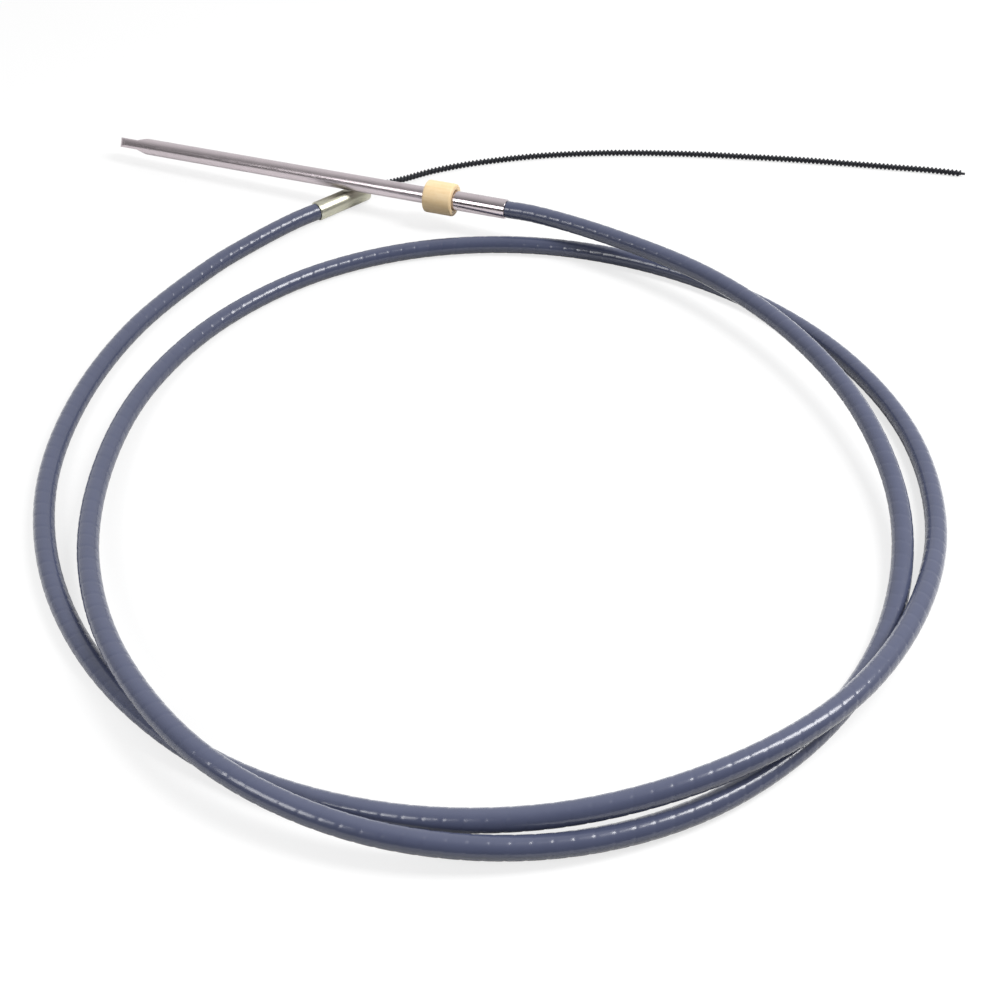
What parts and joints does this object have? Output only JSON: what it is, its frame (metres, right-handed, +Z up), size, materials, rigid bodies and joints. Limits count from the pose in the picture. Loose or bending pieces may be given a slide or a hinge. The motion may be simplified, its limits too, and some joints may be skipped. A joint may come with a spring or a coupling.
{
  "type": "boat steering cable",
  "caption": "Rotary boat steering cable lying in loose turns: telescoping steel ram, coupling nut and sleeve, plastic jacket, plated helm ferrule and wound drive core.",
  "frame": {"origin": "bottom centre of the laid cable's box, on the floor", "axes": "+X from the ram's tip to the drive core's free end, +Y towards the straight ends at the back of the coil, +Z up from the floor"},
  "size_m": [0.8658, 0.8494, 0.0465],
  "materials": {
    "ram_steel": "ground stainless steel, satin along the length",
    "sleeve_steel": "polished stainless steel",
    "nut_plating": "tan chromate plating on steel, satin with faint streaks",
    "jacket_plastic": "slate navy polyethylene, semi-gloss, with faint ridges of the wires below",
    "ferrule_plating": "pale yellow-green zinc plating on steel, bright",
    "core_wire": "black oiled steel wire, wound in a coarse helix"
  },
  "bodies": {
    "cable": {"outer_jacket": "jacket_plastic", "end_sleeve": "sleeve_steel", "guide_tube": "ram_steel", "helm_ferrule": "ferrule_plating", "drive_core": "core_wire"},
    "ram": {"output_ram": "ram_steel"},
    "nut": {"coupling_nut": "nut_plating"}
  },
  "joints": [
    {"name": "ram_slide", "type": "slide", "parent": "cable", "child": "ram", "axis": [-0.9365, 0.3492, -0.0314], "range_m": [0, 0.229]},
    {"name": "nut_spin", "type": "hinge", "parent": "cable", "child": "nut", "pos_m": [-0.11203, 0.29476, 0.03014], "axis": [-0.9365, 0.3492, -0.0314], "continuous": true}
  ]
}
